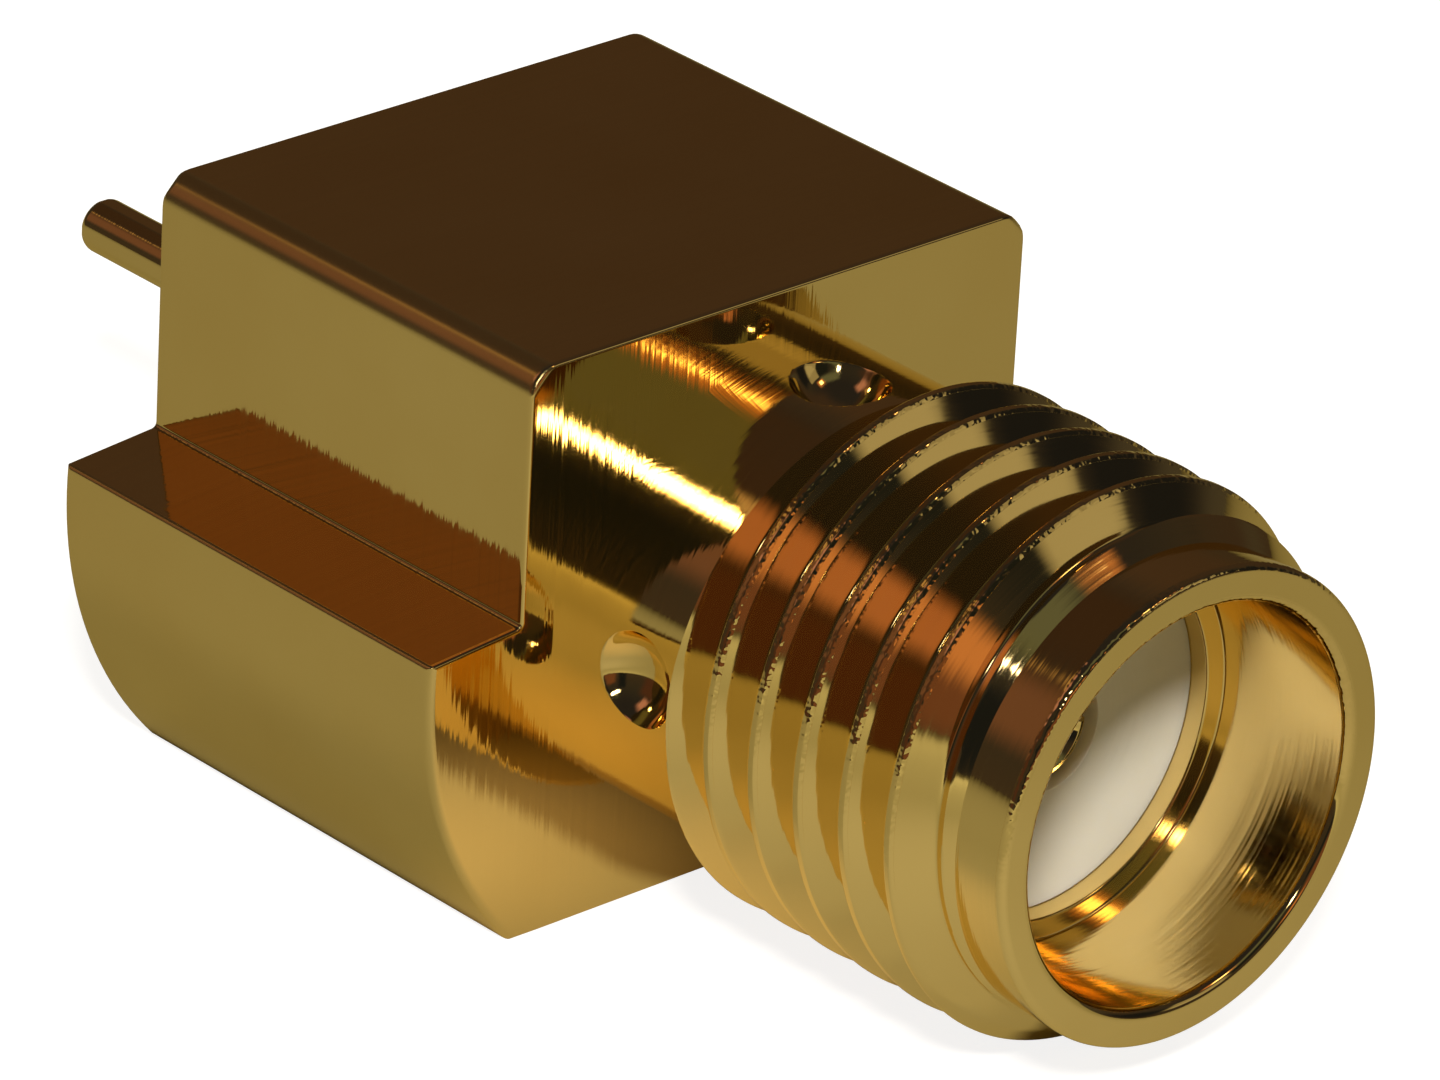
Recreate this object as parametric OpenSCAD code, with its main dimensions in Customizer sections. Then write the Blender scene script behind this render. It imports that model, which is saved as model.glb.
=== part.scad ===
// Subminiature coaxial jack for the edge of a circuit board.
// Y is the coaxial axis, the mouth faces -Y and the board seats on ledges that face +Z.
// The origin is on the axis, in the plane of the shoulder at the bottom of the mouth.

/* [Block] */
// Diameter of the round bar that the block is milled from
bar_d = 9.7; // [9.2:0.1:10.6]
// Width of the block above the ledges
block_w = 7.15; // [6.7:0.05:7.8]
// Length of the block along the axis
block_l = 6.2; // [4.5:0.1:9]
// Height of the top flat above the axis
top_h = 3.5; // [3.3:0.05:3.8]
// Depth of the bottom flat below the axis
bottom_h = 3.31; // [3.2:0.01:3.7]
// Height of the board ledges above the axis, where they meet the side walls
ledge_h = 0.48; // [0.2:0.02:1.2]
// Fall of the ledges towards their outer edges, in degrees
ledge_fall = 5; // [0:1:10]
// Radius of the turned edge break at both ends of the bar's round
edge_break = 0.1; // [0.05:0.01:0.3]

/* [Barrel] */
// Length of the barrel, from the block's front face to the mouth
barrel_l = 6.65; // [6.2:0.05:9]
// Diameter of the plain neck between the block and the thread
neck_d = 5.53; // [5.2:0.01:5.58]
// Length of the plain neck
neck_l = 1.85; // [1.5:0.05:2.5]
// Diameter of the plain ring in front of the thread
pilot_d = 5.4; // [5.28:0.01:5.44]
// Length of the plain ring, from the mouth to the foot of the thread's lead chamfer
pilot_l = 0.75; // [0.5:0.05:1.3]

/* [Thread] */
// Diameter over the crests
thread_d = 6.31; // [6.2:0.01:6.35]
// Pitch of the right-hand thread, 36 turns to the inch
thread_pitch = 0.7056; // [0.65:0.0001:0.8]
// Depth of the groove below the crests
thread_depth = 0.43; // [0.38:0.01:0.45]
// Width of the flat on a crest
crest_w = 0.09; // [0.07:0.01:0.12]
// Length of the lead chamfer along the axis
lead_l = 0.5; // [0.3:0.05:0.7]
// Angle about the axis at which the groove runs out into the neck
groove_angle = 335; // [0:1:359]

/* [Mouth] */
// Diameter of the counterbore that the mating plug enters
mouth_d = 4.6; // [4.5:0.01:4.7]
// Depth of the counterbore, from the lip to the shoulder
mouth_l = 1.9; // [1.8:0.01:2]
// Rounding of the lip's outer edge
lip_round = 0.05; // [0.03:0.01:0.22]
// Chamfer of the lip's inner edge
lip_chamfer = 0.13; // [0.05:0.01:0.17]

/* [Dielectric] */
// Diameter of the insulator and of the bore that grips it
dielectric_d = 4.1; // [3.9:0.01:4.2]
// Depth of the insulator's front face behind the shoulder
dielectric_recess = 0.25; // [0.05:0.01:0.4]

/* [Stakes] */
// Number of dimples punched into the neck to hold the insulator
stake_count = 4; // [2:1:4]
// Distance of the dimples' centres from the block's front face
stake_y = 0.95; // [0.7:0.05:1.1]
// Radius of the punch's round nose
stake_r = 0.58; // [0.4:0.01:0.62]
// Depth of a dimple below the neck's surface
stake_depth = 0.4; // [0.2:0.01:0.45]
// Height of the bulge that each dimple raises inside the bore
stake_bulge = 0.08; // [0.04:0.01:0.15]

/* [Contact] */
// Diameter of the contact's thick part
contact_d = 1.27; // [1.2:0.01:1.35]
// Depth of the contact's front end behind the insulator's face
contact_recess = 0.1; // [0:0.01:0.3]
// Edge break at the contact's front end
contact_break = 0.06; // [0.03:0.01:0.08]
// Diameter of the socket for the mating pin
socket_d = 0.94; // [0.9:0.01:0.98]
// Depth of the socket
socket_l = 3; // [2.6:0.1:3.4]
// Number of spring fingers around the socket
finger_count = 4; // [2:1:4]
// Width of the slots between the fingers
slot_w = 0.12; // [0.08:0.01:0.15]
// Length of the slots
slot_l = 2.4; // [1.8:0.1:2.6]
// Radial room around the fingers in the insulator
finger_gap = 0.04; // [0.02:0.01:0.08]
// Diameter over the barb that bites into the insulator
barb_d = 1.6; // [1.4:0.01:1.9]
// Length of the barb's slope
barb_l = 0.6; // [0.4:0.05:1]
// Distance of the barb's square face from the contact's front end
barb_y = 4.6; // [4.2:0.1:5.4]
// Diameter of the solder pin
pin_d = 0.66; // [0.5:0.01:0.8]
// Reach of the solder pin behind the block
pin_l = 5.4; // [1:0.1:7]
// Rounding of the solder pin's end
pin_round = 0.12; // [0.05:0.01:0.2]

/* [Hidden] */
$fn = 96;
turn_steps = 30; // sections of the thread's groove in one turn
flank_angle = 30; // between a flank and the plane across the axis
drill_angle = 59; // between the socket's drilled end and the axis
over = 0.5; // reach of a cut past the surface that it opens
groove_over = 0.04; // reach of the thread's groove past the crests

mouth_y = -mouth_l;
face_y = mouth_y + barrel_l;
rear_y = face_y + block_l;
thread_front_y = mouth_y + pilot_l;
thread_rear_y = face_y - neck_l;
contact_y = dielectric_recess + contact_recess;

bar_r = bar_d / 2;
neck_r = neck_d / 2;
pilot_r = pilot_d / 2;
thread_r = thread_d / 2;
mouth_r = mouth_d / 2;
dielectric_r = dielectric_d / 2;
contact_r = contact_d / 2;
socket_r = socket_d / 2;
barb_r = barb_d / 2;
pin_r = pin_d / 2;

root_r = thread_r - thread_depth;
root_w = thread_pitch - crest_w - 2 * thread_depth * tan(flank_angle);
groove_r = thread_r + groove_over;
groove_w = root_w + 2 * (groove_r - root_r) * tan(flank_angle);

// Turns an outline of radius and Y about the axis
module turned() {
    rotate([-90, 0, 0]) rotate_extrude() children();
}

// Outline of a shaft between two places on the axis, whose end is rounded
module round_ended(radius, from, to, round, far_end = true) {
    inner = far_end ? to - round : to + round;
    translate([0, min(from, inner)]) square([radius, abs(inner - from)]);
    translate([0, min(from, to)]) square([radius - round, abs(to - from)]);
    translate([radius - round, inner]) circle(r = round);
}

// Section of the block across the axis: the round bar with its flats and ledges milled
module block_section() {
    intersection() {
        circle(r = bar_r);
        union() {
            translate([-block_w / 2, -bottom_h]) square([block_w, bottom_h + top_h]);
            for (side = [0, 1]) mirror([side, 0])
                polygon([
                    [0, -bottom_h],
                    [bar_r, -bottom_h],
                    [bar_r, ledge_h - (bar_r - block_w / 2) * tan(ledge_fall)],
                    [block_w / 2, ledge_h],
                    [0, ledge_h]
                ]);
        }
    }
}

// The block, cut from a bar whose ends were turned with a round edge break
module block() {
    mid_y = (face_y + rear_y) / 2;
    intersection() {
        translate([0, rear_y, 0]) rotate([90, 0, 0]) linear_extrude(block_l) block_section();
        turned() {
            round_ended(bar_r, mid_y, rear_y, edge_break);
            round_ended(bar_r, mid_y, face_y, edge_break, far_end = false);
        }
    }
}

// Four corners of the thread's groove, at a turn counted from the thread's rear end
function groove_corners(turn) =
    let (z = thread_rear_y + thread_pitch * (turn - groove_angle / 360))
    [for (c = [[groove_r, groove_w], [root_r, root_w], [root_r, -root_w], [groove_r, -groove_w]])
        [c[0] * cos(360 * turn), c[0] * sin(360 * turn), z + c[1] / 2]];

// The groove between the crests, swept along its helix past both ends of the thread
module thread_groove() {
    first = -ceil((thread_rear_y - thread_front_y + groove_w) / thread_pitch);
    last = 2;
    count = (last - first) * turn_steps;
    corners = [for (i = [0:count]) each groove_corners(first + i / turn_steps)];
    sides = [for (i = [0:count - 1]) for (j = [0:3])
        let (a = 4 * i + j, b = 4 * i + (j + 1) % 4)
        each [[a, b, a + 4], [b, b + 4, a + 4]]];
    ends = [[3, 2, 1, 0], [for (j = [0:3]) 4 * count + j]];
    rotate([-90, 0, 0]) polyhedron(corners, concat(sides, ends));
}

module thread() {
    difference() {
        turned() polygon([
            [0, thread_front_y],
            [pilot_r, thread_front_y],
            [thread_r, thread_front_y + lead_l],
            [thread_r, thread_rear_y],
            [0, thread_rear_y]
        ]);
        thread_groove();
    }
}

// The neck, and the plain ring with its rounded lip, which is as wide as the core inside the thread
module barrel() {
    turned() {
        round_ended(pilot_r, face_y, mouth_y, lip_round, far_end = false);
        translate([0, thread_rear_y]) square([neck_r, face_y + over - thread_rear_y]);
    }
}

// Punched dimples around the neck, or the round bulges that they raise inside it
module stakes(radius) {
    for (i = [0:stake_count - 1])
        rotate([0, i * 360 / stake_count, 0])
            translate([0, face_y - stake_y, neck_r - stake_depth + stake_r])
                sphere(r = radius);
}

// The space of the insulator's bore, which the stakes' bulges stand into
module dielectric_bore(from, to) {
    floor_wall = neck_r - stake_depth - dielectric_r;
    difference() {
        turned() translate([0, from]) square([dielectric_r, to - from]);
        stakes(stake_r + floor_wall + stake_bulge);
    }
}

module mouth() {
    turned() polygon([
        [0, mouth_y - over],
        [mouth_r + lip_chamfer + over, mouth_y - over],
        [mouth_r, mouth_y + lip_chamfer],
        [mouth_r, 0],
        [0, 0]
    ]);
}

// Outline of the contact behind its socket, whose thick part ends flush with the block's rear
module contact_rear_outline() {
    barb_end = contact_y + barb_y;
    polygon([
        [0, contact_y + socket_l],
        [contact_r, contact_y + socket_l],
        [contact_r, barb_end - barb_l],
        [barb_r, barb_end],
        [contact_r, barb_end],
        [contact_r, rear_y],
        [0, rear_y]
    ]);
    round_ended(pin_r, rear_y, rear_y + pin_l, pin_round);
}

module connector_body() {
    color("goldenrod") difference() {
        union() {
            block();
            barrel();
            thread();
        }
        dielectric_bore(-over, rear_y + over);
        mouth();
        stakes(stake_r);
    }
}

module dielectric() {
    fingers_end = contact_y + socket_l;
    color("ivory") difference() {
        dielectric_bore(dielectric_recess, rear_y);
        turned() {
            translate([0, dielectric_recess - over])
                square([contact_r + finger_gap, fingers_end - dielectric_recess + over]);
            contact_rear_outline();
        }
    }
}

module centre_contact() {
    color("gold") difference() {
        turned() {
            polygon([
                [0, contact_y],
                [contact_r - contact_break, contact_y],
                [contact_r, contact_y + contact_break],
                [contact_r, contact_y + socket_l],
                [0, contact_y + socket_l]
            ]);
            contact_rear_outline();
        }
        turned() polygon([
            [0, contact_y - over],
            [socket_r + contact_break + over, contact_y - over],
            [socket_r, contact_y + contact_break],
            [socket_r, contact_y + socket_l],
            [0, contact_y + socket_l + socket_r / tan(drill_angle)]
        ]);
        for (i = [0:finger_count - 1])
            rotate([0, (i + 0.5) * 360 / finger_count, 0])
                translate([-slot_w / 2, contact_y - over, 0])
                    cube([slot_w, slot_l + over, contact_r + over]);
    }
}

connector_body();
dielectric();
centre_contact();
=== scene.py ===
import math

import bpy
import bmesh
from mathutils import Matrix, Vector


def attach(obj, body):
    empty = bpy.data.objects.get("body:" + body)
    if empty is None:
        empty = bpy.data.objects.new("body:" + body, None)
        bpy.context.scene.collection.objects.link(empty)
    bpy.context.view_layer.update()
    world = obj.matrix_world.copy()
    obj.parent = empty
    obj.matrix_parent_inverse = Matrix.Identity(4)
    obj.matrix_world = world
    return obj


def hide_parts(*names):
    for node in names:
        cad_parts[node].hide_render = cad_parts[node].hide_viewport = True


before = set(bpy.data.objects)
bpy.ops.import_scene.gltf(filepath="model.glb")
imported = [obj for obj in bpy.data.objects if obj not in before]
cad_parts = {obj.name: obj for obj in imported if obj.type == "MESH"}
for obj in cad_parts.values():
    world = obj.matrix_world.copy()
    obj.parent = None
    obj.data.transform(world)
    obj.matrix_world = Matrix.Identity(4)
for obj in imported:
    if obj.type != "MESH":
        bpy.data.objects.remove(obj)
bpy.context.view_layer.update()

# Every piece is built in millimetres, in the frame's own axes, and scaled to metres at its end
mm = 0.001
scene = bpy.context.scene

# The photograph's view, in degrees and millimetres. The aim point is on the axis, in the plane of the
# block's front face.
view = {
    "azimuth": -43.1627,
    "elevation": 25.9095,
    "roll": 3.154,
    "distance": 115.064,
    "aside": -0.5237,
    "above": 0.4495,
    "aim": (0.0, 4.75, 0.0),
    "lens": 264.474,
    "sensor": 36.0,
    "clip": (0.01, 10),    # metres
}

# Sizes that several pieces share, in millimetres. Y is the coaxial axis, with the mouth at its low end.
plan = {
    "mouthY": -1.9,
    "faceY": 4.75,
    "rearY": 10.95,
    "threadFront": -1.15,
    "threadRear": 2.9,
    "neckRadius": 2.765,
    "pilotRadius": 2.7,
    "boreRadius": 2.05,
    "contactY": 0.35,
    "contactRadius": 0.635,
    "columns": 192,
}

print("camera")


# Gives a direction from its bearing (0 is towards -Y, 90 towards +X) and its height, both in degrees
def pointing(bearing, rise):
    a, e = math.radians(bearing), math.radians(rise)
    return Vector((math.sin(a) * math.cos(e), -math.cos(a) * math.cos(e), math.sin(e)))


def aimCamera():
    azimuth, roll = math.radians(view["azimuth"]), math.radians(view["roll"])
    back = pointing(view["azimuth"], view["elevation"])
    right = Vector((math.cos(azimuth), math.sin(azimuth), 0))
    up = back.cross(right)
    camRight = right * math.cos(roll) + up * math.sin(roll)
    camUp = up * math.cos(roll) - right * math.sin(roll)
    place = Vector(view["aim"]) + back * view["distance"]
    place += camRight * view["aside"] + camUp * view["above"]
    lens = bpy.data.cameras.new("photoCamera")
    lens.lens = view["lens"]
    lens.sensor_fit = "HORIZONTAL"
    lens.sensor_width = view["sensor"]
    lens.clip_start, lens.clip_end = view["clip"]
    camera = bpy.data.objects.new("photoCamera", lens)
    turn = Matrix((camRight, camUp, back)).transposed().to_4x4()
    camera.matrix_world = Matrix.Translation(place * mm) @ turn
    scene.collection.objects.link(camera)
    scene.camera = camera


aimCamera()


# Turns a written colour into the linear one that a shader takes
def linear(code):
    parts = [int(code[i:i + 2], 16) / 255 for i in (1, 3, 5)]
    return tuple(c / 12.92 if c <= 0.04045 else ((c + 0.055) / 1.055) ** 2.4 for c in parts) + (1.0,)


def addNode(tree, kind, inputs=(), **settings):
    node = tree.nodes.new(kind)
    for name, value in settings.items():
        setattr(node, name, value)
    pairs = inputs.items() if isinstance(inputs, dict) else enumerate(inputs)
    for key, value in pairs:
        if isinstance(value, bpy.types.NodeSocket):
            tree.links.new(value, node.inputs[key])
        elif value is not None:
            node.inputs[key].default_value = value
    return node


# Works through rows of (name, operation, operands), where an operand is a number or an earlier name
def addSums(tree, values, rows):
    for name, operation, *operands in rows:
        inputs = [values[one] if isinstance(one, str) else one for one in operands]
        values[name] = addNode(tree, "ShaderNodeMath", inputs, operation=operation).outputs[0]


# Maps a value from one range to another, and holds it at the ends
def addRange(tree, value, source, target, kind="LINEAR"):
    inputs = dict(zip(("From Min", "From Max", "To Min", "To Max"), (*source, *target)), Value=value)
    return addNode(tree, "ShaderNodeMapRange", inputs, interpolation_type=kind).outputs[0]


# The numbers of a mix node's colour sockets
mixFirst, mixSecond, mixResult = 6, 7, 2


def addMix(tree, share, first, second):
    inputs = {"Factor": share, mixFirst: first, mixSecond: second}
    return addNode(tree, "ShaderNodeMix", inputs, data_type="RGBA").outputs[mixResult]


# Noise over a place in millimetres, and noise along a count of marks
def addNoise(tree, place, span, detail):
    inputs = {"Vector": place, "Scale": 1 / span, "Detail": detail}
    return addNode(tree, "ShaderNodeTexNoise", inputs).outputs[0]


def addMarks(tree, count, detail, roughness):
    inputs = {"W": count, "Scale": 1.0, "Detail": detail, "Roughness": roughness}
    return addNode(tree, "ShaderNodeTexNoise", inputs, noise_dimensions="1D").outputs[0]


print("materials")


def startMaterial(name):
    material = bpy.data.materials.new(name)
    material.use_nodes = True
    tree = material.node_tree
    tree.nodes.clear()
    return material, tree


# How a face was cut, which its attribute "cut" tells the material. "drawn" is the bar's own skin.
cuts = {"turned": 0, "faced": 1, "milled": 2, "bored": 3, "drawn": 4}

# Bright gold electroplate over turned and milled brass. It gives the eye mirror-sharp reflections with
# a warm yellow tint, broken by the cutter's marks and a faint waviness that the thin plating follows,
# and blurred in the mouth and on the bar's own skin. The real marks are 0.02 to 0.05 mm apart. They are
# drawn coarser, as a view of the whole part wouldn't hold them.
goldPlate = {
    "colour": "#FAE09D",
    "redder": "#F1D38C",   # in patches
    "patchSpan": 1.8,      # mm across a patch
    "edge": "#FFF4D0",     # seen at a grazing angle
    "roughness": (0.035, 0.085),
    "boredRoughness": 0.06,     # added in the mouth
    "drawnRoughness": 0.16,     # added on the bar's own skin
    # For each cut the axis across its marks, the mm between them and their depth in mm
    "marks": {
        "turned": ("y", 0.07, 0.0009),
        "faced": ("x", 0.11, 0.0016),
        "milled": ("y", 0.13, 0.0022),
        "bored": ("y", 0.19, 0.005),
    },
    "markDetail": 2.0,
    "markBlend": 0.6,      # how much of the finer marks shows in the coarse ones
    "markRange": (0.25, 0.75),  # of the noise, over which the roughness changes
    "waveSpan": 1.1,       # mm from wave to wave
    "waveDepth": 0.0035,
    "nickSpan": 0.1,       # mm, of the nicks along the thread's crests and the lip's outer edge
    "nickDepth": 0.012,
    "nickRange": (-0.6, 0.8),   # mm above the axis, over which they grow from none to full
    "nickRadius": 3.11,    # mm from the axis at which they start
    # The middle of the lip's edge along Y, and half its width
    "lipEdge": (plan["mouthY"] + 0.055, 0.05),
}


# Gives a shape's place in millimetres, from the object's own coordinates
def addPlace(tree):
    here = addNode(tree, "ShaderNodeTexCoord").outputs["Object"]
    inputs = {"Vector": here, "Scale": 1 / mm}
    return addNode(tree, "ShaderNodeVectorMath", inputs, operation="SCALE").outputs[0]


# Gives the distance from the coaxial axis, from a place
def addRadius(tree, place):
    across = addNode(tree, "ShaderNodeVectorMath", [place, (1, 0, 1)], operation="MULTIPLY").outputs[0]
    return addNode(tree, "ShaderNodeVectorMath", [across], operation="LENGTH").outputs["Value"]


# Turns a height in millimetres into a bent surface direction
def addBump(tree, height):
    inputs = {"Strength": 1.0, "Distance": mm, "Height": height}
    return addNode(tree, "ShaderNodeBump", inputs).outputs[0]


def makeGoldPlate(name, look):
    material, tree = startMaterial(name)
    place = addPlace(tree)
    axes = addNode(tree, "ShaderNodeSeparateXYZ", [place]).outputs
    values = {
        "x": axes[0],
        "y": axes[1],
        "radius": addRadius(tree, place),
        "cut": addNode(tree, "ShaderNodeAttribute", attribute_name="cut").outputs["Fac"],
        "count": 0.0,
        "depth": 0.0,
    }
    addSums(tree, values, [(kind, "COMPARE", "cut", code, 0.4) for kind, code in cuts.items()])
    for kind, (axis, pitch, depth) in look["marks"].items():
        addSums(tree, values, [
            ("part", "DIVIDE", axis, pitch),
            ("count", "MULTIPLY_ADD", "part", kind, "count"),
            ("depth", "MULTIPLY_ADD", kind, depth, "depth"),
        ])
    values["marks"] = addMarks(tree, values["count"], look["markDetail"], look["markBlend"])
    values["waves"] = addNoise(tree, place, look["waveSpan"], 1.0)
    values["nicks"] = addNoise(tree, place, look["nickSpan"], 1.0)
    values["upper"] = addRange(tree, axes[2], look["nickRange"], (0.0, 1.0))
    addSums(tree, values, [
        ("height", "MULTIPLY", "marks", "depth"),
        ("height", "MULTIPLY_ADD", "waves", look["waveDepth"], "height"),
        ("crest", "GREATER_THAN", "radius", look["nickRadius"]),
        ("lip", "COMPARE", "y", *look["lipEdge"]),
        ("worn", "MAXIMUM", "crest", "lip"),
        ("worn", "MULTIPLY", "worn", "turned"),
        ("nicks", "MULTIPLY", "nicks", look["nickDepth"]),
        ("nicks", "MULTIPLY", "nicks", "upper"),
        ("height", "MULTIPLY_ADD", "nicks", "worn", "height"),
    ])
    values["rough"] = addRange(tree, values["marks"], look["markRange"], look["roughness"])
    addSums(tree, values, [
        ("rough", "MULTIPLY_ADD", "bored", look["boredRoughness"], "rough"),
        ("rough", "MULTIPLY_ADD", "drawn", look["drawnRoughness"], "rough"),
    ])
    patches = addNoise(tree, place, look["patchSpan"], 2.0)
    shader = addNode(tree, "ShaderNodeBsdfPrincipled", {
        "Base Color": addMix(tree, patches, linear(look["colour"]), linear(look["redder"])),
        "Metallic": 1.0,
        "Roughness": values["rough"],
        "Specular Tint": linear(look["edge"]),
        "Normal": addBump(tree, values["height"]),
    })
    addNode(tree, "ShaderNodeOutputMaterial", {"Surface": shader.outputs[0]})
    return material


# Turned fluoropolymer. It gives the eye a soft waxy white that light enters a little way, with a
# blurred sheen and the faint rings of its facing cut.
waxyWhite = {
    "colour": "#F1EEE4",
    "shade": "#E6E1D0",
    "cloudSpan": 0.9,      # mm
    "roughness": 0.32,
    "refraction": 1.38,
    "inside": 0.5,         # share of the light that goes in
    "depth": 0.25,         # mm that it travels there
    "depthTint": (1.0, 0.95, 0.85),
    "ringPitch": 0.09,     # mm
    "ringDepth": 0.0012,
}


def makeInsulatorWhite(name, look):
    material, tree = startMaterial(name)
    place = addPlace(tree)
    values = {"radius": addRadius(tree, place)}
    addSums(tree, values, [("count", "DIVIDE", "radius", look["ringPitch"])])
    values["rings"] = addMarks(tree, values["count"], 1.0, 0.5)
    addSums(tree, values, [("height", "MULTIPLY", "rings", look["ringDepth"])])
    clouds = addNoise(tree, place, look["cloudSpan"], 2.0)
    shader = addNode(tree, "ShaderNodeBsdfPrincipled", {
        "Base Color": addMix(tree, clouds, linear(look["colour"]), linear(look["shade"])),
        "Roughness": look["roughness"],
        "IOR": look["refraction"],
        "Subsurface Weight": look["inside"],
        "Subsurface Radius": look["depthTint"],
        "Subsurface Scale": look["depth"] * mm,
        "Normal": addBump(tree, values["height"]),
    })
    addNode(tree, "ShaderNodeOutputMaterial", {"Surface": shader.outputs[0]})
    return material


bodyGold = makeGoldPlate("goldElectroplateBody", goldPlate)
contactGold = makeGoldPlate("goldElectroplateContact", goldPlate)
insulatorWhite = makeInsulatorWhite("turnedFluoropolymer", waxyWhite)


def ringPoint(radius, y, angle):
    return Vector((radius * math.cos(angle), y, -radius * math.sin(angle)))


# Takes corners as (first, second, rounding radius) and gives the points of the rounded path, whose
# arcs turn by no more than a step in degrees
def softPath(corners, closed=False, step=14):
    points = []
    count = len(corners)
    for i, (a, b, soft) in enumerate(corners):
        here = Vector((a, b))
        if not soft or (not closed and i in (0, count - 1)):
            points.append((a, b))
            continue
        before = (Vector(corners[i - 1][:2]) - here).normalized()
        after = (Vector(corners[(i + 1) % count][:2]) - here).normalized()
        half = before.angle(after) / 2
        centre = here + (before + after).normalized() * soft / math.sin(half)
        start = here + before * soft / math.tan(half) - centre
        end = here + after * soft / math.tan(half) - centre
        turn = start.angle(end)
        pieces = max(2, math.ceil(math.degrees(turn) / step))
        for k in range(pieces + 1):
            share = k / pieces
            arm = (start * math.sin((1 - share) * turn) + end * math.sin(share * turn)) / math.sin(turn)
            points.append(tuple(centre + arm))
    return points


# Joins two rings that have as many points each
def bridge(mesh, near, far):
    faces = []
    for i in range(len(near)):
        after = (i + 1) % len(near)
        faces.append(mesh.faces.new((near[i], near[after], far[after], far[i])))
    return faces


# Turns a path of (y, radius) about the axis
def lathe(mesh, path, columns):
    rings = []
    for y, radius in path:
        ring = [mesh.verts.new(ringPoint(radius, y, 2 * math.pi * i / columns)) for i in range(columns)]
        if rings:
            bridge(mesh, rings[-1], ring)
        rings.append(ring)
    return rings


# Fills the flat band between two loops that both go round the axis
def fillBand(mesh, inner, outer):
    def bearing(vert):
        return math.atan2(-vert.co.z, vert.co.x) % (2 * math.pi)
    inner = sorted(inner, key=bearing)
    outer = sorted(outer, key=bearing)
    i = j = 0
    faces = []
    while i < len(inner) or j < len(outer):
        a, b = inner[i % len(inner)], outer[j % len(outer)]
        nextA, nextB = inner[(i + 1) % len(inner)], outer[(j + 1) % len(outer)]
        bearingA = bearing(nextA) + (2 * math.pi if i + 1 >= len(inner) else 0)
        bearingB = bearing(nextB) + (2 * math.pi if j + 1 >= len(outer) else 0)
        if j >= len(outer) or (i < len(inner) and bearingA <= bearingB):
            faces.append(mesh.faces.new((a, nextA, b)))
            i += 1
        else:
            faces.append(mesh.faces.new((a, nextB, b)))
            j += 1
    return faces


finish = {
    "weld": 0.0002,        # mm between points that become one
    "sliver": 0.00005,     # mm, the longest edge that is taken out
    "sharp": 38,           # degrees between two faces, from which their edge stays sharp
    "areaWeight": 90,      # how much more the larger faces count in the shading
}


# A tree has a mesh to give, its sources and its sizes to take, and hands back the sockets of those
def startTree(name, sizes, sources):
    tree = bpy.data.node_groups.new(name, "GeometryNodeTree")
    tree.interface.new_socket("Mesh", in_out="OUTPUT", socket_type="NodeSocketGeometry")
    for label, kind in sources:
        tree.interface.new_socket(label, in_out="INPUT", socket_type=kind)
    for label, value in sizes.items():
        kind = "NodeSocketInt" if isinstance(value, int) else "NodeSocketFloat"
        tree.interface.new_socket(label, in_out="INPUT", socket_type=kind)
    return tree, tree.nodes.new("NodeGroupInput").outputs


def endTree(tree, geometry, material):
    real = addNode(tree, "GeometryNodeRealizeInstances", [geometry])
    inputs = {"Geometry": real.outputs[0], "Distance": finish["weld"]}
    welded = addNode(tree, "GeometryNodeMergeByDistance", inputs)
    painted = addNode(tree, "GeometryNodeSetMaterial", [welded.outputs[0], None, material])
    addNode(tree, "NodeGroupOutput", [painted.outputs[0]])


# Runs a tree on a mesh and gives the plain mesh that it makes
def growMesh(tree, start, values):
    holder = bpy.data.objects.new(tree.name, start)
    scene.collection.objects.link(holder)
    modifier = holder.modifiers.new(tree.name, "NODES")
    modifier.node_group = tree
    for item in tree.interface.items_tree:
        if item.in_out == "INPUT" and item.name in values:
            modifier[item.identifier] = values[item.name]
    graph = bpy.context.evaluated_depsgraph_get()
    made = bpy.data.meshes.new_from_object(holder.evaluated_get(graph))
    holder.modifiers.remove(modifier)
    bpy.data.objects.remove(holder)
    return made


# Welds a piece, turns its faces outwards, sets its shading and scales it to metres
def finishPiece(name, mesh, material):
    bmesh.ops.remove_doubles(mesh, verts=mesh.verts, dist=finish["weld"])
    bmesh.ops.dissolve_degenerate(mesh, edges=mesh.edges, dist=finish["sliver"])
    loose = [vert for vert in mesh.verts if not vert.link_faces]
    bmesh.ops.delete(mesh, geom=loose, context="VERTS")
    bmesh.ops.recalc_face_normals(mesh, faces=mesh.faces)
    openEdges = [edge for edge in mesh.edges if len(edge.link_faces) != 2]
    data = bpy.data.meshes.new(name)
    mesh.to_mesh(data)
    mesh.free()
    data.shade_smooth()
    data.set_sharp_from_angle(angle=math.radians(finish["sharp"]))
    data.materials.append(material)
    piece = bpy.data.objects.new(name, data)
    scene.collection.objects.link(piece)
    weighted = piece.modifiers.new("weighted", "WEIGHTED_NORMAL")
    weighted.keep_sharp = True
    weighted.weight = finish["areaWeight"]
    graph = bpy.context.evaluated_depsgraph_get()
    shaded = bpy.data.meshes.new_from_object(piece.evaluated_get(graph))
    piece.modifiers.remove(weighted)
    piece.data = shaded
    bpy.data.meshes.remove(data)
    shaded.name = name
    shaded.transform(Matrix.Scale(mm, 4))
    triangles = sum(len(face.vertices) - 2 for face in shaded.polygons)
    print(f"  {name}: {triangles} triangles, {len(openEdges)} open edges")
    return piece


print("thread")

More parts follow.
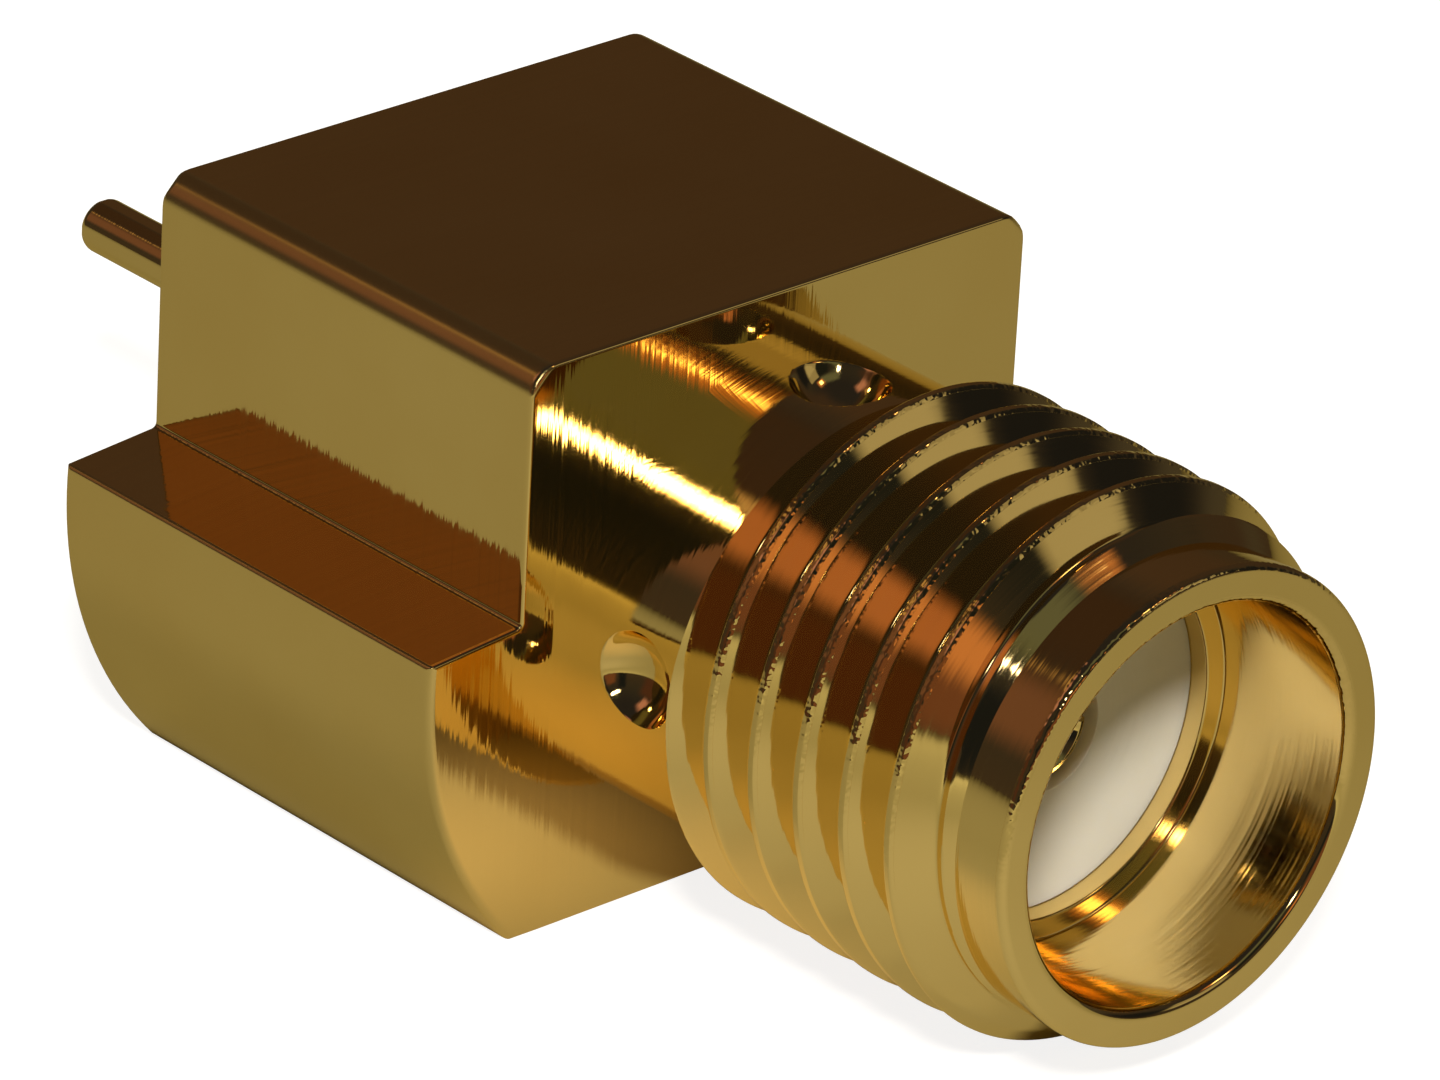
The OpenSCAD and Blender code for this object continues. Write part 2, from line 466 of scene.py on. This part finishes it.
# The right-hand coupling thread, 36 turns to the inch, whose groove runs out behind the last turn
threadSizes = {
    "Columns": plan["columns"],
    "Rows in a Turn": 48,
    "Pitch": 0.7056,
    "Front": plan["threadFront"],
    "Rear": plan["threadRear"],
    "Crest Radius": 3.155,
    "Root Radius": 2.725,
    "Crest Width": 0.09,
    "Flank Slope": math.tan(math.radians(30)),
    "Foot Radius": plan["pilotRadius"],
    "Lead Length": 0.5,
    "Neck Radius": plan["neckRadius"],
    "Run Out": 335 / 360,
    "Crest Softness": 0.03,
    "Root Softness": 0.05,
    "Rear Break": 0.03,
    "Rear Softness": 0.015,
}


def makeThreadTree():
    tree, given = startTree("threadTree", threadSizes, [("Material", "NodeSocketMaterial")])
    values = {label: given[label] for label in threadSizes}
    # Rows follow the helix, so that the crests' edges lie along them; one more turn fills both ends
    addSums(tree, values, [
        ("turns", "SUBTRACT", "Rear", "Front"),
        ("turns", "DIVIDE", "turns", "Pitch"),
        ("turns", "ADD", "turns", 1.0),
        ("rows", "MULTIPLY", "turns", "Rows in a Turn"),
        ("rows", "CEIL", "rows"),
        ("rows", "ADD", "rows", 1.0),
        ("columnPoints", "ADD", "Columns", 1.0),
        ("rowPoints", "ADD", "rows", 1.0),
    ])
    grid = addNode(tree, "GeometryNodeMeshGrid", [1.0, 1.0, values["columnPoints"], values["rowPoints"]])
    place = addNode(tree, "GeometryNodeInputPosition").outputs[0]
    values["gridX"], values["gridY"] = addNode(tree, "ShaderNodeSeparateXYZ", [place]).outputs[:2]
    addSums(tree, values, [
        ("turn", "ADD", "gridX", 0.5),
        ("row", "ADD", "gridY", 0.5),
        ("row", "MULTIPLY", "row", "rows"),
        ("along", "DIVIDE", "row", "Rows in a Turn"),
        ("along", "SUBTRACT", "along", 1.0),
        ("along", "ADD", "along", "turn"),
        ("y", "MULTIPLY_ADD", "along", "Pitch", "Front"),
        ("y", "MAXIMUM", "y", "Front"),
        ("y", "MINIMUM", "y", "Rear"),
        ("phase", "SUBTRACT", "y", "Rear"),
        ("phase", "DIVIDE", "phase", "Pitch"),
        ("phase", "SUBTRACT", "phase", "turn"),
        ("phase", "ADD", "phase", "Run Out"),
        ("nearest", "ROUND", "phase"),
        ("offset", "SUBTRACT", "phase", "nearest"),
        ("offset", "ABSOLUTE", "offset"),
        ("offset", "MULTIPLY", "offset", "Pitch"),
        ("depth", "SUBTRACT", "Crest Radius", "Root Radius"),
        ("flankWidth", "MULTIPLY", "depth", "Flank Slope"),
        ("halfRoot", "SUBTRACT", "Pitch", "Crest Width"),
        ("halfRoot", "MULTIPLY", "halfRoot", 0.5),
        ("halfRoot", "SUBTRACT", "halfRoot", "flankWidth"),
        ("rise", "SUBTRACT", "offset", "halfRoot"),
        ("rise", "DIVIDE", "rise", "Flank Slope"),
        ("flank", "ADD", "rise", "Root Radius"),
        ("radius", "SMOOTH_MAX", "flank", "Root Radius", "Root Softness"),
        ("radius", "SMOOTH_MIN", "radius", "Crest Radius", "Crest Softness"),
        ("fromFront", "SUBTRACT", "y", "Front"),
        ("leadRise", "SUBTRACT", "Crest Radius", "Foot Radius"),
        ("leadRise", "DIVIDE", "leadRise", "Lead Length"),
        ("lead", "MULTIPLY_ADD", "fromFront", "leadRise", "Foot Radius"),
        ("radius", "SMOOTH_MIN", "radius", "lead", "Crest Softness"),
        ("rearCone", "SUBTRACT", "Rear", "y"),
        ("rearCone", "ADD", "rearCone", "Crest Radius"),
        ("rearCone", "SUBTRACT", "rearCone", "Rear Break"),
        ("radius", "SMOOTH_MIN", "radius", "rearCone", "Rear Softness"),
        ("lastRow", "SUBTRACT", "rows", 0.5),
        ("closing", "GREATER_THAN", "row", "lastRow"),
        ("toNeck", "SUBTRACT", "Neck Radius", "radius"),
        ("radius", "MULTIPLY_ADD", "toNeck", "closing", "radius"),
        ("angle", "MULTIPLY", "turn", 2 * math.pi),
        ("cosine", "COSINE", "angle"),
        ("sine", "SINE", "angle"),
        ("x", "MULTIPLY", "radius", "cosine"),
        ("z", "MULTIPLY", "radius", "sine"),
        ("z", "MULTIPLY", "z", -1.0),
    ])
    point = addNode(tree, "ShaderNodeCombineXYZ", [values["x"], values["y"], values["z"]])
    inputs = {"Geometry": grid.outputs[0], "Position": point.outputs[0]}
    shaped = addNode(tree, "GeometryNodeSetPosition", inputs)
    endTree(tree, shaped.outputs[0], given["Material"])
    return tree


threadValues = dict(threadSizes, Material=bodyGold)
threadMesh = growMesh(makeThreadTree(), bpy.data.meshes.new("threadStart"), threadValues)

print("neck with its stakes")

# The neck is made of equal sectors, each with the dimple that a round punch left in it
stakes = {
    "count": 4,
    "y": 3.8,
    "punchRadius": 0.58,
    "depth": 0.4,
    "rim": 0.1,            # softness of the dimple's edge
    "halfColumns": 8,      # columns on each side of the dimple that its own mesh takes up
    "halfLength": 0.72,
    "rows": 16,
    # The dimple's own rings: first by their share of the way from its rim out to that mesh's border,
    # then by the mm from its rim inwards
    "outward": [0.5, 0.25, 0.1, 0.04, 0.016, 0.006],
    "inward": [
        0.0, 0.004, 0.009, 0.016, 0.026, 0.045, 0.075, 0.115,
        0.165, 0.22, 0.28, 0.34, 0.4, 0.46, 0.51,
    ],
}


# Gives the radius of the neck's surface near a dimple, with a soft rim where the punch's round begins
def stakeSurface(aside, along):
    turn = aside / plan["neckRadius"]
    centre = plan["neckRadius"] - stakes["depth"] + stakes["punchRadius"]
    room = stakes["punchRadius"] ** 2 - along ** 2 - (centre * math.sin(turn)) ** 2
    if room <= 0:
        return plan["neckRadius"]
    punch = centre * math.cos(turn) - math.sqrt(room)
    blend = max(stakes["rim"] - abs(punch - plan["neckRadius"]), 0) / stakes["rim"]
    return min(punch, plan["neckRadius"]) - blend * blend * stakes["rim"] / 4


def makeNeckSector():
    mesh = bmesh.new()
    columns = plan["columns"] // stakes["count"]
    half = stakes["halfColumns"]
    low = stakes["y"] - stakes["halfLength"]
    high = stakes["y"] + stakes["halfLength"]
    rows = [low + (high - low) * k / stakes["rows"] for k in range(stakes["rows"] + 1)]
    rows = [plan["threadRear"]] + rows + [plan["faceY"]]
    step = 2 * math.pi / plan["columns"]
    grid = {}
    for j, y in enumerate(rows):
        for i in range(-columns // 2, columns // 2 + 1):
            if 1 < j < 1 + stakes["rows"] and abs(i) < half:
                continue
            grid[i, j] = mesh.verts.new(ringPoint(plan["neckRadius"], y, i * step - math.pi / 2))
    for j in range(len(rows) - 1):
        for i in range(-columns // 2, columns // 2):
            inside = 1 <= j < 1 + stakes["rows"] and -half <= i < half
            if not inside:
                corners = [(i, j), (i + 1, j), (i + 1, j + 1), (i, j + 1)]
                mesh.faces.new([grid[key] for key in corners])
    # The dimple's rings run from the patch's own border, over its rim and down to the middle
    top = 1 + stakes["rows"]
    border = [(i, 1) for i in range(-half, half)] + [(half, j) for j in range(1, top)]
    border += [(i, top) for i in range(half, -half, -1)] + [(-half, j) for j in range(top, 1, -1)]
    ring = [grid[key] for key in border]
    sides = [(i * step * plan["neckRadius"], rows[j] - stakes["y"]) for i, j in border]
    for share in stakes["outward"]:
        ring = addStakeRing(mesh, ring, sides, share, 0)
    for less in stakes["inward"]:
        ring = addStakeRing(mesh, ring, sides, 0, less)
    bottom = mesh.verts.new(ringPoint(stakeSurface(0, 0), stakes["y"], -math.pi / 2))
    for i in range(len(ring)):
        mesh.faces.new((ring[i], ring[(i + 1) % len(ring)], bottom))
    data = bpy.data.meshes.new("neckSector")
    mesh.to_mesh(data)
    mesh.free()
    return data


def addStakeRing(mesh, outside, sides, share, less):
    rim = math.sqrt(stakes["punchRadius"] ** 2 - (stakes["punchRadius"] - stakes["depth"]) ** 2)
    ring = []
    for aside, along in sides:
        length = math.hypot(aside, along)
        scale = (rim + (length - rim) * share - less) / length
        radius = stakeSurface(aside * scale, along * scale)
        angle = aside * scale / plan["neckRadius"] - math.pi / 2
        ring.append(mesh.verts.new(ringPoint(radius, stakes["y"] + along * scale, angle)))
    bridge(mesh, outside, ring)
    return ring


def makeStakeTree():
    sources = [("Sector", "NodeSocketGeometry"), ("Material", "NodeSocketMaterial")]
    tree, given = startTree("stakeTree", {"Count": stakes["count"]}, sources)
    values = {"Count": given["Count"]}
    values["index"] = addNode(tree, "GeometryNodeInputIndex").outputs[0]
    addSums(tree, values, [
        ("turn", "DIVIDE", "index", "Count"),
        ("angle", "MULTIPLY", "turn", 2 * math.pi),
    ])
    points = addNode(tree, "GeometryNodePoints", {"Count": given["Count"]})
    turned = addNode(tree, "ShaderNodeCombineXYZ", [0.0, values["angle"], 0.0])
    rotation = addNode(tree, "FunctionNodeEulerToRotation", [turned.outputs[0]])
    sector = addNode(tree, "GeometryNodeGeometryToInstance", [given["Sector"]])
    copies = addNode(tree, "GeometryNodeInstanceOnPoints", {
        "Points": points.outputs[0], "Instance": sector.outputs[0], "Rotation": rotation.outputs[0],
    })
    endTree(tree, copies.outputs[0], given["Material"])
    return tree


neckValues = {"Count": stakes["count"], "Material": bodyGold}
neckMesh = growMesh(makeStakeTree(), makeNeckSector(), neckValues)

print("block and mouth")

# The block is milled from a round bar: two sides, a flat top and bottom, and a ledge on each side for
# the circuit board
block = {
    "barRadius": 4.85,
    "halfWidth": 3.575,
    "top": 3.5,
    "bottom": -3.31,
    "ledge": 0.48,
    "ledgeFall": 5,        # degrees
    "ledgeSteps": 20,      # to find where the ledge meets the bar
    "edgeBreak": 0.05,     # on the flats' edges
    "barBreak": 0.1,       # on the bar's own round
    "topRadius": 0.37,     # as the bar's own round leaves it between the top and the sides
    "barBand": 0.06,       # a face this close to the bar's own round wasn't milled
    "cornerRadius": 0.06,
    "arcStep": 2,          # degrees
    "longestEdge": 0.4,
    # mm from each end to the rows of its broken edge
    "breakRows": [0, 0.006, 0.016, 0.03, 0.05, 0.072, 0.1],
}


def onBar(angle):
    turn = math.radians(angle)
    return block["barRadius"] * math.cos(turn), block["barRadius"] * math.sin(turn)


def blockCorners():
    bar = block["barRadius"]
    soft = block["cornerRadius"]
    bottomAngle = math.degrees(math.asin(block["bottom"] / bar))
    slope = math.tan(math.radians(block["ledgeFall"]))
    x = bar
    for _ in range(block["ledgeSteps"]):
        z = block["ledge"] - (x - block["halfWidth"]) * slope
        x = math.sqrt(bar ** 2 - z ** 2)
    ledgeAngle = math.degrees(math.atan2(z, x))
    corners = [(block["halfWidth"], block["top"], block["topRadius"])]
    corners += [(block["halfWidth"], block["ledge"], soft), (*onBar(ledgeAngle), soft)]
    corners += [(*onBar(angle), 0) for angle in spread(ledgeAngle, bottomAngle)]
    corners += [(*onBar(bottomAngle), soft)]
    left = [(-x, z, soft) for x, z, soft in reversed(corners)]
    return corners + left


def spread(start, end):
    pieces = max(2, round(abs(end - start) / block["arcStep"]))
    return [start + (end - start) * k / pieces for k in range(1, pieces)]


# Puts points along the straight edges, so that no facet between them and an opening gets too wide
def splitEdges(outline, longest):
    points = []
    for here, after in zip(outline, outline[1:] + outline[:1]):
        pieces = math.ceil((after - here).length / longest)
        points += [here.lerp(after, k / pieces) for k in range(pieces)]
    return points


def makeBlock(mesh, neckLoop, rearLoop, cut):
    outline = [Vector(point) for point in softPath(blockCorners(), closed=True, step=10)]
    outline = splitEdges(outline, block["longestEdge"])
    count = len(outline)
    normals = []
    for i in range(count):
        ahead = outline[(i + 1) % count] - outline[i]
        along = ahead.normalized() + (outline[i] - outline[i - 1]).normalized()
        normals.append(Vector((-along.y, along.x)).normalized())
    if normals[0].dot(outline[0]) < 0:
        normals = [-normal for normal in normals]
    rows = [(depth, plan["faceY"] + depth) for depth in block["breakRows"]]
    rows += [(depth, plan["rearY"] - depth) for depth in reversed(block["breakRows"])]
    loops = []
    for depth, y in rows:
        flatGap = max(block["edgeBreak"] - depth, 0)
        inset = block["edgeBreak"] - math.sqrt(block["edgeBreak"] ** 2 - flatGap ** 2)
        barGap = max(block["barBreak"] - depth, 0)
        limit = block["barRadius"] - block["barBreak"] + math.sqrt(block["barBreak"] ** 2 - barGap ** 2)
        loop = []
        for point, normal in zip(outline, normals):
            spot = point - normal * inset
            if spot.length > limit:
                spot = spot * limit / spot.length
            loop.append(mesh.verts.new((spot.x, y, spot.y)))
        if loops:
            for face in bridge(mesh, loops[-1], loop):
                middle = face.calc_center_median()
                onSkin = math.hypot(middle.x, middle.z) > block["barRadius"] - block["barBand"]
                face[cut] = cuts["drawn"] if onSkin else cuts["milled"]
        loops.append(loop)
    for face in fillBand(mesh, neckLoop, loops[0]) + fillBand(mesh, rearLoop, loops[-1]):
        face[cut] = cuts["faced"]


# The lip, the counterbore that takes a plug's sleeve, and the bore for the insulator
mouth = {
    "lipRadius": 2.735,
    "lipLength": 0.12,
    "lipRound": 0.09,
    "innerRound": 0.13,
    "counterbore": 2.3,
    "softness": 0.035,
    "rearBreak": 0.03,
}


def makeBody():
    mesh = bmesh.new()
    cut = mesh.faces.layers.float.new("cut")
    start = plan["mouthY"]
    path = softPath([
        (plan["threadFront"], plan["pilotRadius"], 0),
        (start + mouth["lipLength"], mouth["lipRadius"], 0),
        (start, mouth["lipRadius"], mouth["lipRound"]),
        (start, mouth["counterbore"], mouth["innerRound"]),
        (0, mouth["counterbore"], mouth["softness"]),
        (0, plan["boreRadius"], mouth["softness"]),
        (plan["rearY"] - mouth["rearBreak"], plan["boreRadius"], 0),
        (plan["rearY"], plan["boreRadius"] + mouth["rearBreak"], 0),
    ], step=10)
    rings = lathe(mesh, path, plan["columns"])
    for face in mesh.faces:
        middle = face.calc_center_median()
        radius = math.hypot(middle.x, middle.z)
        if radius < mouth["counterbore"] + mouth["softness"] and middle.y > start + mouth["innerRound"]:
            face[cut] = cuts["bored"]
    neckLoop = lathe(mesh, [(plan["faceY"], plan["neckRadius"])], plan["columns"])[0]
    makeBlock(mesh, neckLoop, rings[-1], cut)
    mesh.from_mesh(threadMesh)
    mesh.from_mesh(neckMesh)
    return finishPiece("connectorBody", mesh, bodyGold)


connectorBody = makeBody()

print("insulator")

insulatorSizes = {
    "radius": 2.045,
    "front": 0.25,
    "fingerRoom": 0.04,
    "fingersEnd": 3.35,
    "softness": 0.012,
    "rearSoftness": 0.02,
}


def makeInsulator():
    mesh = bmesh.new()
    look = insulatorSizes
    inner = plan["contactRadius"] + look["fingerRoom"]
    path = softPath([
        (look["front"], inner, look["softness"]),
        (look["front"], look["radius"], look["softness"]),
        (plan["rearY"], look["radius"], look["rearSoftness"]),
        (plan["rearY"], plan["contactRadius"], 0),
        (look["fingersEnd"], plan["contactRadius"], 0),
        (look["fingersEnd"], inner, 0),
    ], closed=True)
    rings = lathe(mesh, path, plan["columns"])
    bridge(mesh, rings[-1], rings[0])
    return finishPiece("insulator", mesh, insulatorWhite)


insulator = makeInsulator()

print("centre contact")

contactSizes = {
    "socketRadius": 0.47,
    "socketEnd": 3.35,
    "drillReach": 0.2824,
    "edgeBreak": 0.06,
    "softness": 0.02,
    "rimSoftness": 0.01,
    "barbRadius": 0.8,
    "barbStart": 4.35,
    "barbEnd": 4.95,
    "pinRadius": 0.33,
    "pinEnd": 16.35,
    "pinRound": 0.12,
    "fingers": 4,
    "slotWidth": 0.12,
    "slotEnd": 2.75,
    "columns": 24,         # in one finger
}


# A ring of the contact, whose columns keep clear of the slots by the same distance at each radius
def contactRing(mesh, y, radius, look):
    if radius < look["slotWidth"]:
        return [mesh.verts.new((0, y, 0))]
    reach = 2 * math.pi / look["fingers"]
    clear = math.asin(look["slotWidth"] / 2 / radius)
    ring = []
    for finger in range(look["fingers"]):
        start = finger * reach + clear
        step = (reach - 2 * clear) / look["columns"]
        for k in range(look["columns"] + 1):
            ring.append(mesh.verts.new(ringPoint(radius, y, start + step * k)))
    return ring


def makeContact():
    mesh = bmesh.new()
    look = contactSizes
    front = plan["contactY"]
    path = softPath([
        (look["socketEnd"] + look["drillReach"], 0, 0),
        (look["socketEnd"], look["socketRadius"], 0),
        (look["slotEnd"], look["socketRadius"], 0),
        (front + look["edgeBreak"], look["socketRadius"], look["softness"]),
        (front, look["socketRadius"] + look["edgeBreak"], look["softness"]),
        (front, plan["contactRadius"] - look["edgeBreak"], look["rimSoftness"]),
        (front + look["edgeBreak"], plan["contactRadius"], look["softness"]),
        (look["slotEnd"], plan["contactRadius"], 0),
        (look["barbStart"], plan["contactRadius"], 0),
        (look["barbEnd"], look["barbRadius"], 0),
        (look["barbEnd"], plan["contactRadius"], 0),
        (plan["rearY"], plan["contactRadius"], look["softness"]),
        (plan["rearY"], look["pinRadius"], look["softness"]),
        (look["pinEnd"], look["pinRadius"], look["pinRound"]),
        (look["pinEnd"], 0, 0),
    ])
    rings = [contactRing(mesh, y, radius, look) for y, radius in path]
    inner, outer = [i for i, (y, radius) in enumerate(path) if y == look["slotEnd"]]
    columns = look["columns"] + 1
    total = columns * look["fingers"]
    for i in range(len(rings) - 1):
        near, far = rings[i], rings[i + 1]
        for k in range(total):
            after = (k + 1) % total
            if inner <= i < outer and after % columns == 0:
                continue
            corners = [near[k % len(near)], near[after % len(near)]]
            corners += [far[after % len(far)], far[k % len(far)]]
            mesh.faces.new(list(dict.fromkeys(corners)))
    # The slots' walls and their closed ends
    for finger in range(look["fingers"]):
        first = finger * columns
        last = first + columns - 1
        after = (last + 1) % total
        for edge in (first, last):
            mesh.faces.new([ring[edge] for ring in rings[inner:outer + 1]])
        near, far = rings[inner], rings[outer]
        mesh.faces.new((near[last], near[after], far[after], far[last]))
    return finishPiece("centreContact", mesh, contactGold)


centreContact = makeContact()

print("stage and light")

# A pale matte table top. The camera sees it white, with a faint shadow, and the metal mirrors it lit,
# with painted light in front of and under the barrel.
tableTop = {
    "height": block["bottom"],
    "reach": 400,             # mm, from its middle to each side
    "white": 0.84,            # strength of what only the camera sees, rising to 1 away from the part
    "whitePlace": (0, 4, block["bottom"]),
    "whiteReach": 60,         # mm
    "shadow": "#9A9A9A",      # what the lamps add to that white, where no shadow falls
    "colour": "#89876E",
    "near": "#A3A18B",        # painted light: the table's colour brightened in front of the barrel
    "paintedLightPlace": (-4.0, -5.0, block["bottom"]),
    "paintedLightReach": 13,          # mm, over which that painted light fades
    "thrown": "#98805A",      # painted light: a glow standing in for the light that the polished gold throws on the table under the barrel
    "thrownPlace": (-2.7, 2.8, block["bottom"]),
    "thrownReach": 4.2,       # mm
}
plainWhite = (1, 1, 1, 1)


# Gives 1 at a spot and 0 from a distance in millimetres onwards
def addFade(tree, place, spot, reach):
    away = addNode(tree, "ShaderNodeVectorMath", [place, spot], operation="DISTANCE").outputs["Value"]
    return addRange(tree, away, (0.0, reach), (1.0, 0.0), "SMOOTHSTEP")


# Gives 1 to the rays that metal or glass sends on, and 0 to all others
def addMirrored(tree, path):
    kinds = [path["Is Glossy Ray"], path["Is Transmission Ray"]]
    return addNode(tree, "ShaderNodeMath", kinds, operation="MAXIMUM").outputs[0]


def makeTableTop():
    reach = tableTop["reach"]
    mesh = bmesh.new()
    corners = [(-reach, -reach), (reach, -reach), (reach, reach), (-reach, reach)]
    mesh.faces.new([mesh.verts.new((x * mm, y * mm, tableTop["height"] * mm)) for x, y in corners])
    data = bpy.data.meshes.new("tableTop")
    mesh.to_mesh(data)
    mesh.free()
    table = bpy.data.objects.new("tableTop", data)
    scene.collection.objects.link(table)
    material, tree = startMaterial("paleTableTop")
    path = addNode(tree, "ShaderNodeLightPath").outputs
    place = addPlace(tree)
    values = {
        "white": addFade(tree, place, tableTop["whitePlace"], tableTop["whiteReach"]),
        "thrown": addFade(tree, place, tableTop["thrownPlace"], tableTop["thrownReach"]),
        "mirrored": addMirrored(tree, path),
    }
    addSums(tree, values, [
        ("white", "MULTIPLY", "white", tableTop["white"] - 1),
        ("white", "ADD", "white", 1),
        ("thrown", "MULTIPLY", "thrown", "mirrored"),
    ])
    white = addNode(tree, "ShaderNodeEmission", [plainWhite, values["white"]])
    shadow = addNode(tree, "ShaderNodeBsdfDiffuse", [linear(tableTop["shadow"])])
    seen = addNode(tree, "ShaderNodeAddShader", [white.outputs[0], shadow.outputs[0]])
    # Painted pool of light: the table's colour brightens in front of the barrel
    near = addFade(tree, place, tableTop["paintedLightPlace"], tableTop["paintedLightReach"])
    colour = addMix(tree, near, linear(tableTop["colour"]), linear(tableTop["near"]))
    matte = addNode(tree, "ShaderNodeBsdfDiffuse", [colour])
    # A painted glow under the barrel, which only the metal's mirroring sees
    glow = addNode(tree, "ShaderNodeEmission", [linear(tableTop["thrown"]), values["thrown"]])
    lit = addNode(tree, "ShaderNodeAddShader", [matte.outputs[0], glow.outputs[0]])
    toCamera = path["Is Camera Ray"]
    mixed = addNode(tree, "ShaderNodeMixShader", [toCamera, lit.outputs[0], seen.outputs[0]])
    addNode(tree, "ShaderNodeOutputMaterial", {"Surface": mixed.outputs[0]})
    data.materials.append(material)


makeTableTop()

# What the gold mirrors above the table: a dim room with a few lit patches. Each row gives a patch's
# bearing, height, half width, half height and softness in degrees, its colour and its strength. Later
# rows lie over earlier ones.
roomPatches = {
    "farWall": (137, 24, 22, 16, 8, "#45342A", 1.0),
    "farRight": (105, 30, 25, 40, 12, "#3A2E28", 1.0),
    "rightWall": (80, 0, 14, 9, 5, "#433E38", 1.0),
    "leftShelf": (-108, 15, 17, 20, 8, "#4A2F24", 1.0),
    "leftWood": (-140, 32, 10, 16, 5, "#6C4A3A", 1.0),
    "backBeam": (-172, 46, 22, 7, 6, "#38281E", 1.0),
    "leftLight": (-146, 41, 6, 3, 2, "#B48C5A", 1.0),
    "leftCloth": (-119, 47, 8, 10, 5, "#B17C72", 1.0),
    "greyWall": (-8, 47, 20, 7, 4, "#5F6252", 1.0),
    "darkCorner": (10, 29, 16, 9, 5, "#1C1E1E", 1.0),
    "doorWood": (-14, 9, 14, 10, 4, "#6C4430", 1.0),
    "doorLight": (-3, 14, 6, 4.5, 2.5, "#C88250", 1.0),
    "behindCamera": (-42, 14, 7, 16, 4, "#1A1C20", 1.0),
    "windowTop": (36, 28, 12.5, 9, 1.5, "#948A6E", 1.0),
    "window": (36, 22, 10.5, 4, 1, "#A89E80", 1.0),
    "rightDark": (60, 17, 11, 12, 5, "#1B1B1F", 1.0),
    "lampGlow": (26, 48, 8, 5, 3, "#C88250", 1.0),
    "ceilingLamp": (25, 48, 4, 3, 1.2, "#FFDCA0", 4.0),
    "flash": (-35, 37, 3.0, 2.2, 1.0, "#FFF6EC", 18.0),
}
# The room's own colour by the height of a direction, from the table's level to nearly overhead
roomGradient = [(0.0, "#3C322A"), (0.5, "#322E2A"), (0.87, "#262428")]
# What the table and the insulator get from the room as a whole
roomFill = {
    "colour": "#FFEDCC",
    "strength": (0.17, 0.45),   # from the front and from behind
    "range": (-0.2, 0.4),       # how far a direction points to +Y where the two meet
}


def makeRoom():
    world = bpy.data.worlds.new("room")
    world.use_nodes = True
    tree = world.node_tree
    tree.nodes.clear()
    path = addNode(tree, "ShaderNodeLightPath").outputs
    toward = addNode(tree, "ShaderNodeTexCoord").outputs["Generated"]
    axes = addNode(tree, "ShaderNodeSeparateXYZ", [toward]).outputs
    ramp = addNode(tree, "ShaderNodeValToRGB", [axes[2]])
    stops = ramp.color_ramp.elements
    for i, (place, code) in enumerate(roomGradient):
        stop = stops[i] if i < len(stops) else stops.new(place)
        stop.position = place
        stop.color = linear(code)
    colour = ramp.outputs[0]
    for patch in roomPatches.values():
        colour = addPatch(tree, toward, colour, *patch)
    level = addRange(tree, axes[1], roomFill["range"], roomFill["strength"])
    room = addNode(tree, "ShaderNodeBackground", [colour, 1.0])
    fill = addNode(tree, "ShaderNodeBackground", [linear(roomFill["colour"]), level])
    white = addNode(tree, "ShaderNodeBackground", [plainWhite, 1.0])
    mirrored = addMirrored(tree, path)
    lit = addNode(tree, "ShaderNodeMixShader", [mirrored, fill.outputs[0], room.outputs[0]])
    toCamera = path["Is Camera Ray"]
    mixed = addNode(tree, "ShaderNodeMixShader", [toCamera, lit.outputs[0], white.outputs[0]])
    addNode(tree, "ShaderNodeOutputWorld", [mixed.outputs[0]])
    scene.world = world


def addPatch(tree, toward, under, bearing, rise, halfWidth, halfHeight, softness, code, strength):
    axes = {
        "ahead": pointing(bearing, rise),
        "aside": pointing(bearing + 90, 0),
        "above": pointing(bearing, rise + 90),
    }
    values = {}
    for name, axis in axes.items():
        dot = addNode(tree, "ShaderNodeVectorMath", [toward, axis], operation="DOT_PRODUCT")
        values[name] = dot.outputs["Value"]
    addSums(tree, values, [
        ("inFront", "GREATER_THAN", "ahead", 0.0),
        ("aside", "ABSOLUTE", "aside"),
        ("above", "ABSOLUTE", "above"),
    ])
    soft = math.sin(math.radians(softness))
    for name, half in (("aside", halfWidth), ("above", halfHeight)):
        edge = math.sin(math.radians(half))
        values[name] = addRange(tree, values[name], (edge - soft, edge + soft), (1.0, 0.0), "SMOOTHSTEP")
    addSums(tree, values, [
        ("mask", "MULTIPLY", "aside", "above"),
        ("mask", "MULTIPLY", "mask", "inFront"),
    ])
    level = [part * strength for part in linear(code)[:3]] + [1.0]
    return addMix(tree, values["mask"], under, level)


makeRoom()

# Lamps that light the table and the insulator; the gold sees the room's patches in their place. Each
# row gives a lamp's bearing and height in degrees, its distance and width in mm, its colour and its
# power in watts.
lamps = {
    "flash": (-44, 41.5, 160, 22, "#FFFAF0", 0.3),
    "ceiling": (26, 55, 260, 90, "#FFF0DC", 0.14),
}


def makeLamps():
    for name, (bearing, rise, distance, size, code, power) in lamps.items():
        ahead = pointing(bearing, rise)
        light = bpy.data.lights.new(name, "AREA")
        light.shape = "DISK"
        light.size = size * mm
        light.energy = power
        light.color = linear(code)[:3]
        lamp = bpy.data.objects.new(name, light)
        turn = ahead.to_track_quat("Z", "Y").to_matrix().to_4x4()
        lamp.matrix_world = Matrix.Translation(ahead * distance * mm) @ turn
        lamp.visible_glossy = False
        scene.collection.objects.link(lamp)


makeLamps()
scene.view_settings.view_transform = "Standard"

for piece, node, slot in (
    (connectorBody, "connector_body", "gold_plated_brass"),
    (insulator, "dielectric", "ptfe"),
    (centreContact, "centre_contact", "gold_plated_contact"),
):
    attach(piece, "root")
    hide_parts(node)
